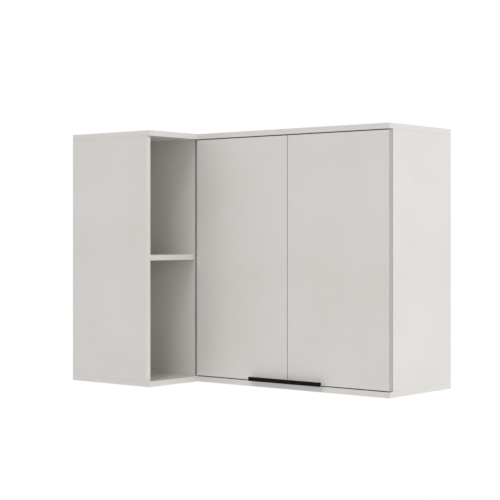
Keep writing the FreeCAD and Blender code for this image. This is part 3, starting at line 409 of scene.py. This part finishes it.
def board_screw():
    """Thick chipboard screw: flat head with a six-sided socket, smooth neck and coarse thread."""
    head = [(4.3, 0), (4.7, 0.12), (4.9, 0.45), (4.9, 2.1)]
    neck = [(3.5, 3.0), (2.45, 3.1), (2.45, 11.6)]
    tip = [(1.7, 40.8), (1.5, 42.2), (0.4, 43.5)]
    piece = turned("board_screw", head + neck + threaded(1.75, 2.42, 12.0, 40.2, 2.35) + tip)
    hex_recess(piece, 4, 2.2)
    return smooth(piece)


def fitting_screw(name, shank, length):
    """Low domed screw of the hinges, with a cross in its head."""
    head = [(1.5, 0), (2.4, 0.06), (3.1, 0.24), (3.7, 0.6), (3.98, 1.0), (3.98, 1.18)]
    neck = [(shank, 1.2), (shank, 2.6)]
    tip = [(0.7 * shank, length - 1.2), (0.25, length)]
    thread = threaded(0.72 * shank, shank, 2.8, length - 1.6, 1.6)
    piece = turned(name, head + neck + thread + tip)
    cross_recess(piece, 2.1, 0.75, 0.95)
    return smooth(piece)


def handle_screw():
    """Metal thread screw that comes through the door into a handle's post."""
    head = [(1.6, 0), (2.6, 0.1), (3.4, 0.4), (3.85, 0.9), (3.98, 1.4), (3.98, 1.78)]
    neck = [(1.95, 1.8), (1.95, 10.0)]
    tip = [(1.6, 28.2), (1.5, 28.6)]
    piece = turned("handle_screw_piece", head + neck + threaded(1.7, 1.95, 10.2, 27.6, 0.9) + tip)
    cross_recess(piece, 2.3, 0.8, 1.5)
    return smooth(piece)


def clamp_screw():
    """Screw that holds the hinge arm down on its plate."""
    head = [(3.2, 0.1), (3.6, 0.25), (3.85, 0.6), (3.85, 1.9)]
    neck = [(1.95, 1.95), (1.95, 5.2)]
    piece = turned("clamp_screw", head + neck + threaded(1.7, 1.95, 5.3, 9.4, 0.8) + [(1.5, 9.8)])
    cross_recess(piece, 2.4, 0.9, 1.5)
    return smooth(piece)


def adjusting_screw():
    """Threaded pin that sets the door sideways, flush in the hinge arm."""
    top = [(2.1, 0.25), (2.4, 0.5)]
    piece = turned("adjusting_screw", top + threaded(2.15, 2.4, 0.6, 4.6, 0.7) + [(2.0, 4.9)])
    cross_recess(piece, 1.7, 0.7, 1.4)
    return smooth(piece)


def cover_cap():
    """Flush plastic cap over a board screw, with a peg for its socket."""
    disc = [(4.7, 0.03), (4.88, 0.12), (4.9, 0.3), (4.9, 0.38)]
    peg = [(1.7, 0.39), (1.6, 1.9)]
    return smooth(turned("cover_cap", disc + peg))


def loose_solids(node):
    """Points of each separate solid in a node's mesh."""
    shape = bmesh.new()
    shape.from_mesh(frame["nodes"][node].data)
    bmesh.ops.remove_doubles(shape, verts=shape.verts, dist=SAME_POINT)
    unmet = set(shape.verts)
    solids = []
    while unmet:
        points, fresh = set(), [unmet.pop()]
        while fresh:
            vert = fresh.pop()
            points.add(vert.co.to_tuple(7))
            for line in vert.link_edges:
                other = line.other_vert(vert)
                if other in unmet:
                    unmet.remove(other)
                    fresh.append(other)
        solids.append([Vector(point) for point in points])
    shape.free()
    return solids


def screw_seats(node):
    """Face centre and way inwards of each screw in a node: its head is the wider end."""
    seats = []
    for points in loose_solids(node):
        low = Vector([min(point[i] for point in points) for i in range(3)])
        high = Vector([max(point[i] for point in points) for i in range(3)])
        axis = max(range(3), key=lambda i: high[i] - low[i])

        def end(level):
            """Centre and radius of the screw's end at a level."""
            centre = (low + high) / 2
            centre[axis] = level
            ring = [point for point in points if abs(point[axis] - level) < SAME_LEVEL]
            return centre, max((point - centre).length for point in ring)

        (low_face, low_radius), (high_face, high_radius) = end(low[axis]), end(high[axis])
        head_low = low_radius > high_radius
        way = Vector((0, 0, 0))
        way[axis] = 1 if head_low else -1
        seats.append((low_face if head_low else high_face, way))
    return sorted(seats, key=lambda seat: tuple(round(number, 5) for number in seat[0]))


def put_copies(master, seats, name, body, finish, node=None):
    """A copy of the master at each seat, with a mesh of its own; the master goes."""
    for number, (face, way) in enumerate(seats, start=1):
        turn = Vector((0, 0, 1)).rotation_difference(way).to_matrix().to_4x4()
        mesh = master.data.copy()
        mesh.transform(Matrix.Translation(face) @ turn)
        mesh.materials.clear()
        mesh.materials.append(finish)
        piece = bpy.data.objects.new(f"{name}_{number}", mesh)
        bpy.context.scene.collection.objects.link(piece)
        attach(piece, body)
        if node is not None:
            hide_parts(node)
    bpy.data.objects.remove(master)


carcass_seats = screw_seats("carcass_screws")
put_copies(board_screw(), carcass_seats, "carcass_screw", "cabinet", ZINC,
           "carcass_screws")

# Caps cover the screws of the right side and the underside.
CAP_SINK = 0.4 * MM
cabinet_bottom = cad_box[0][2]
covered = [(face - CAP_SINK * way, way) for face, way in carcass_seats
           if way.x < -0.5 or (way.z > 0.5 and face.z < cabinet_bottom + MM)]
put_copies(cover_cap(), covered, "cover_cap", "cabinet", CAP_FINISH)

HINGE_SCREW_LENGTH = 12.7
CUP_SCREW_SHANK, PLATE_SCREW_SHANK = 1.95, 2.4
HINGE_LEVELS = (0.11, 0.59)
ARM_TOP = 12 * MM                                   # of a hinge arm, above its panel's face
CLAMP_SETBACK, ADJUSTER_SETBACK = 64 * MM, 54 * MM  # behind the panel's front edge

for side in ("left", "right"):
    masters = {"cup": fitting_screw("cup_screw", CUP_SCREW_SHANK, HINGE_SCREW_LENGTH),
               "plate": fitting_screw("plate_screw", PLATE_SCREW_SHANK, HINGE_SCREW_LENGTH),
               "handle": handle_screw()}
    for kind, master in masters.items():
        node = f"{side}_{kind}_screws"
        put_copies(master, screw_seats(node), f"{side}_{kind}_screw", BODY_OF[node],
                   ZINC, node)
    if side == "left":
        panel_face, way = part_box("hinge_stile")[1].x, 1
        panel_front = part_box("hinge_stile")[0].y
    else:
        panel_face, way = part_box("right_side_panel")[0].x, -1
        panel_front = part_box("right_side_panel")[0].y
    arm_screws = {"clamp_screw": (CLAMP_SETBACK, clamp_screw()),
                  "adjusting_screw": (ADJUSTER_SETBACK, adjusting_screw())}
    for name, (setback, master) in arm_screws.items():
        inwards = Vector((-way, 0, 0))
        seats = [(Vector((panel_face + way * ARM_TOP, panel_front + setback, level)), inwards)
                 for level in HINGE_LEVELS]
        put_copies(master, seats, f"{side}_{name}", "cabinet", ZINC)


# ---------------------------------------------------------------- room, light and camera

WHITE = (1, 1, 1, 1)
ROOM_LEVEL, ROOM_TINT = 0.49, (0.985, 0.985, 1.0, 1)
FLOOR_LEVEL, FLOOR_SIZE = -1.6, 12
FLOOR_GLOW = 0.54                   # what the lit floor lacks to white


def seen_ray(nodes, links):
    """1 for the rays that look at a surface, mirror it or come to it through glass."""
    path = nodes.new("ShaderNodeLightPath")
    seen = path.outputs["Is Camera Ray"]
    for kind in ("Is Glossy Ray", "Is Transmission Ray"):
        either = nodes.new("ShaderNodeMath")
        either.operation = "MAXIMUM"
        links.new(seen, either.inputs[0])
        links.new(path.outputs[kind], either.inputs[1])
        seen = either.outputs["Value"]
    return seen


def background(nodes, colour, level):
    shader = nodes.new("ShaderNodeBackground")
    shader.inputs["Color"].default_value = colour
    shader.inputs["Strength"].default_value = level
    return shader.outputs["Background"]


def studio_world():
    """Soft light from all round, and plain white where the room itself is seen."""
    world = bpy.data.worlds.new("studio")
    bpy.context.scene.world = world
    world.use_nodes = True
    nodes, links = world.node_tree.nodes, world.node_tree.links
    nodes.clear()
    choose = nodes.new("ShaderNodeMixShader")
    links.new(seen_ray(nodes, links), choose.inputs["Fac"])
    links.new(background(nodes, ROOM_TINT, ROOM_LEVEL), choose.inputs[1])
    links.new(background(nodes, WHITE, 1.0), choose.inputs[2])
    output = nodes.new("ShaderNodeOutputWorld")
    links.new(choose.outputs["Shader"], output.inputs["Surface"])


def pale_floor():
    """Floor that keeps the cabinet's shadow, with a glow of its own where it is seen."""
    bpy.ops.object.select_all(action="DESELECT")
    bpy.ops.mesh.primitive_plane_add(size=FLOOR_SIZE, location=(0, 0, FLOOR_LEVEL))
    floor = bpy.context.object
    floor.name = "floor"
    finish = Finish("pale_floor", (0.8, 0.8, 0.8, 1), 0.9)
    shade = finish.noise(0.8, detail=2.0)
    finish.colour(finish.blend(shade, (0.79, 0.79, 0.79, 1), (0.81, 0.81, 0.81, 1)))
    glow = finish.nodes.new("ShaderNodeEmission")
    glow.inputs["Color"].default_value = WHITE
    strength = finish.math("MULTIPLY", seen_ray(finish.nodes, finish.links), FLOOR_GLOW)
    finish.join(strength, glow.inputs["Strength"])
    total = finish.nodes.new("ShaderNodeAddShader")
    finish.join(finish.shader.outputs["BSDF"], total.inputs[0])
    finish.join(glow.outputs["Emission"], total.inputs[1])
    finish.join(total.outputs["Shader"], finish.nodes["Material Output"].inputs["Surface"])
    floor.data.materials.append(finish.material)


COOL, NEUTRAL = (0.968, 0.972, 1.0), (0.983, 0.977, 1.0)
MIDDLE, RIGHT_SIDE = (0, 0, 0.35), (0.45, 0, 0.35)
LAMPS = (
    # name, place, what it is turned to, width, power and tint
    ("right_window", (8.84, 1.03, 2.2), RIGHT_SIDE, 7.6, 438, COOL),
    ("right_key", (5.36, -8.91, 1.81), MIDDLE, 4.4, 95, NEUTRAL),
    ("left_fill", (-3.90, -9.64, 1.81), MIDDLE, 4.4, 86, NEUTRAL),
    ("high_key", (1.92, -7.17, 7.77), MIDDLE, 4.4, 303, NEUTRAL),
    ("rear_fill", (-6.4, 5.6, 2.6), MIDDLE, 4.4, 200, NEUTRAL),
)


def soft_light(name, place, target, width, power, tint):
    """Square lamp turned to a point."""
    lamp = bpy.data.lights.new(name, "AREA")
    lamp.shape = "SQUARE"
    lamp.size = width
    lamp.energy = power
    lamp.color = tint
    holder = bpy.data.objects.new(name, lamp)
    bpy.context.scene.collection.objects.link(holder)
    holder.location = place
    holder.rotation_euler = (Vector(target) - Vector(place)).to_track_quat("-Z", "Y").to_euler()


CAMERA_PLACE = (2.4340, -3.0062, 0.4158)
CAMERA_AZIMUTH = math.radians(39.264)
CAMERA_LENS, CAMERA_SENSOR = 100.2, 36
CAMERA_SHIFT = -0.0310
CAMERA_SIGHT = 100


def photo_camera():
    """Level camera at the right front, where the photograph was taken from."""
    data = bpy.data.cameras.new("camera")
    data.sensor_width = CAMERA_SENSOR
    data.lens = CAMERA_LENS
    data.shift_y = CAMERA_SHIFT
    data.clip_end = CAMERA_SIGHT
    camera = bpy.data.objects.new("camera", data)
    bpy.context.scene.collection.objects.link(camera)
    camera.location = CAMERA_PLACE
    camera.rotation_euler = (math.radians(90), 0, CAMERA_AZIMUTH)
    bpy.context.scene.camera = camera


studio_world()
pale_floor()
for lamp in LAMPS:
    soft_light(*lamp)
photo_camera()
bpy.context.scene.view_settings.view_transform = "Standard"
